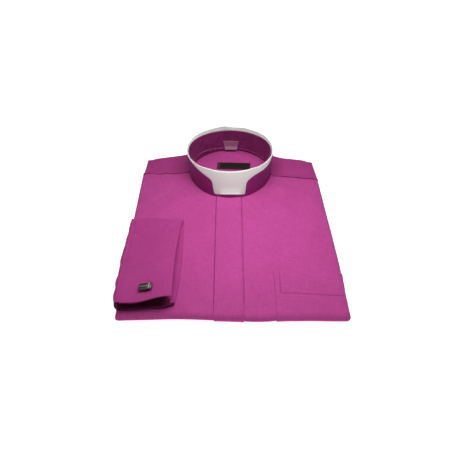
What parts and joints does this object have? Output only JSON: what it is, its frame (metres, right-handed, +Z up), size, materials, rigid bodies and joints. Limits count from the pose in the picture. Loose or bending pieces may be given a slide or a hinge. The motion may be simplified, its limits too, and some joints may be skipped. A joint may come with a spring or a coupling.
{
  "type": "clergy shirt",
  "caption": "Folded magenta clergy shirt with a round white slip-in collar, hidden-button front, chest pocket and one double cuff with a dark link brought round to the front.",
  "frame": {"origin": "on the table under the folded shirt, on the placket line, 172 mm behind the front fold", "axes": "+Z up from the table, +Y towards the neck end, +X towards the wearer's left side (the pocket side), the shirt lying on its back"},
  "size_m": [0.2878, 0.3581, 0.0599],
  "materials": {
    "shirt_cloth": "plain woven poplin, matt with a faint sheen",
    "collar_cloth": "plain woven poplin over interlining, in shade",
    "collar_white": "smooth semi-gloss white collar insert",
    "label_cloth": "dark woven label, left bare",
    "tab_film": "pale printed tape, left bare",
    "cuff_cloth": "plain woven poplin, interlined cuff",
    "link_metal": "dark gunmetal, polished with a brushed stripe"
  },
  "bodies": {
    "root": {"folded_layers": "shirt_cloth", "front_right": "shirt_cloth", "front_left": "shirt_cloth", "placket": "shirt_cloth", "pocket": "shirt_cloth", "yoke": "shirt_cloth", "yoke_inner": "shirt_cloth", "collar_band_outer": "collar_cloth", "collar_insert": "collar_white", "collar_band_inner": "collar_cloth", "neck_label": "label_cloth", "size_tab": "tab_film", "cuff": "cuff_cloth", "sleeve": "cuff_cloth", "cufflink_head": "link_metal", "cufflink_post": "link_metal"}
  },
  "joints": []
}
